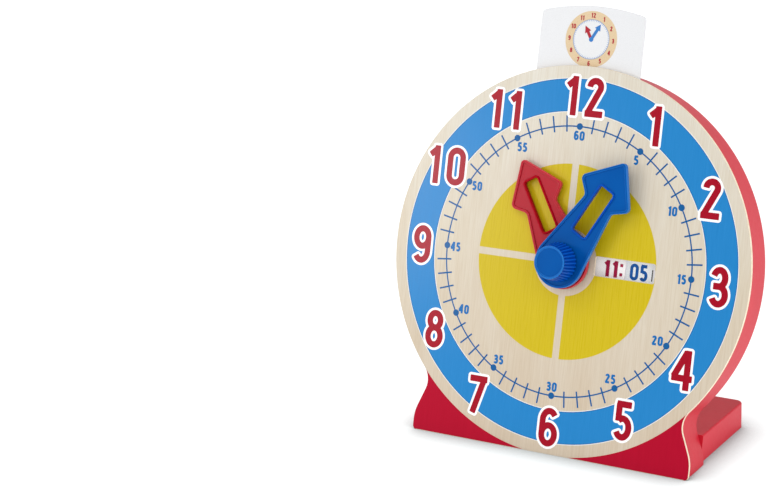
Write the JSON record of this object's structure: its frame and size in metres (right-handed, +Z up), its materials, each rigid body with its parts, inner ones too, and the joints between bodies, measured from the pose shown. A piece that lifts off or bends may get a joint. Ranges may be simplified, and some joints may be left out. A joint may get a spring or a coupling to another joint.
{
  "type": "teaching clock",
  "caption": "Leaning wooden teaching clock: hand-turned hands drive number dials behind a window, and a slot at the top holds a lift-out time card.",
  "frame": {"origin": "on the table, under the middle of the clock's footprint", "axes": "+X to the reader's right, +Y to the back, +Z up; the dial faces -Y and leans back by 15 degrees"},
  "size_m": [0.292, 0.1181, 0.3234],
  "materials": {
    "birch_plywood": "clear satin lacquer over pale birch, with printed rings and numerals",
    "red_paint": "satin red paint on fibreboard",
    "bare_wood": "bare hardwood dowel",
    "clear_plastic": "clear, polished",
    "white_nylon": "natural moulded nylon",
    "red_plastic": "moulded, semi-gloss",
    "blue_plastic": "moulded, semi-gloss",
    "printed_card": "white coated card with printed numerals",
    "zinc_steel": "bright zinc plate"
  },
  "bodies": {
    "stand": {"front_board": "birch_plywood", "body": "red_paint", "base_board": "red_paint", "base_screw_left": "zinc_steel", "base_screw_middle": "zinc_steel", "base_screw_right": "zinc_steel", "base_dowel_left": "bare_wood", "base_dowel_right": "bare_wood", "window_lens": "clear_plastic", "spindle_bush": "white_nylon", "bush_nut": "white_nylon"},
    "hour_works": {"hour_hand": "red_plastic", "hour_sleeve": "red_plastic", "hour_dial": "printed_card", "sleeve_ring": "zinc_steel"},
    "minute_works": {"minute_hand": "blue_plastic", "knob": "blue_plastic", "spindle": "blue_plastic", "hand_spacer": "white_nylon", "friction_washer": "zinc_steel", "minute_dial": "printed_card", "dial_washer": "zinc_steel", "spindle_screw": "zinc_steel"},
    "card": {"time_card": "printed_card"}
  },
  "joints": [
    {"name": "hour_turn", "type": "hinge", "parent": "stand", "child": "hour_works", "pos_m": [0, -0.02152, 0.14025], "axis": [0, 0.9659, -0.2588], "continuous": true},
    {"name": "minute_turn", "type": "hinge", "parent": "stand", "child": "minute_works", "pos_m": [0, -0.02152, 0.14025], "axis": [0, 0.9659, -0.2588], "continuous": true},
    {"name": "card_slide", "type": "slide", "parent": "stand", "child": "card", "axis": [0, 0.2588, 0.9659], "range_m": [0, 0.027]}
  ]
}
